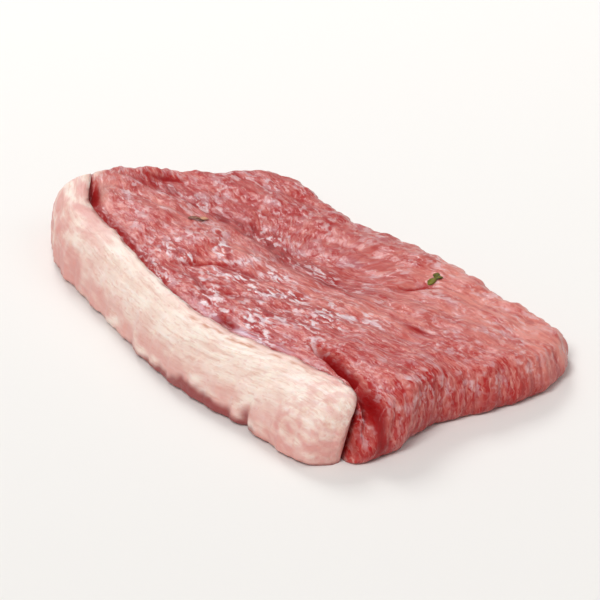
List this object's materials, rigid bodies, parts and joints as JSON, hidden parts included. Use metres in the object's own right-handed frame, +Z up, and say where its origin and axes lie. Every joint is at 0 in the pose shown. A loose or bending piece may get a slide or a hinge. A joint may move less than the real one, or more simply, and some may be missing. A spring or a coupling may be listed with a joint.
{
  "type": "beef topside steak",
  "caption": "Raw beef topside steak lying flat: a slab of red lean with a cream band of outer fat along one long side and bits of thyme on top.",
  "frame": {"origin": "middle of the footprint, on the surface that the steak lies on", "axes": "+X across the steak from the fat to the thin edge, +Y along its length, +Z up from the foot to the upper side"},
  "size_m": [0.1113, 0.1807, 0.0211],
  "materials": {
    "lean": "moist raw beef, soft satin with wet glints",
    "fat": "firm cream beef fat, waxy satin",
    "thyme": "fresh thyme leaf, soft satin"
  },
  "bodies": {
    "root": {"lean": "lean", "fat": "fat"}
  },
  "joints": []
}
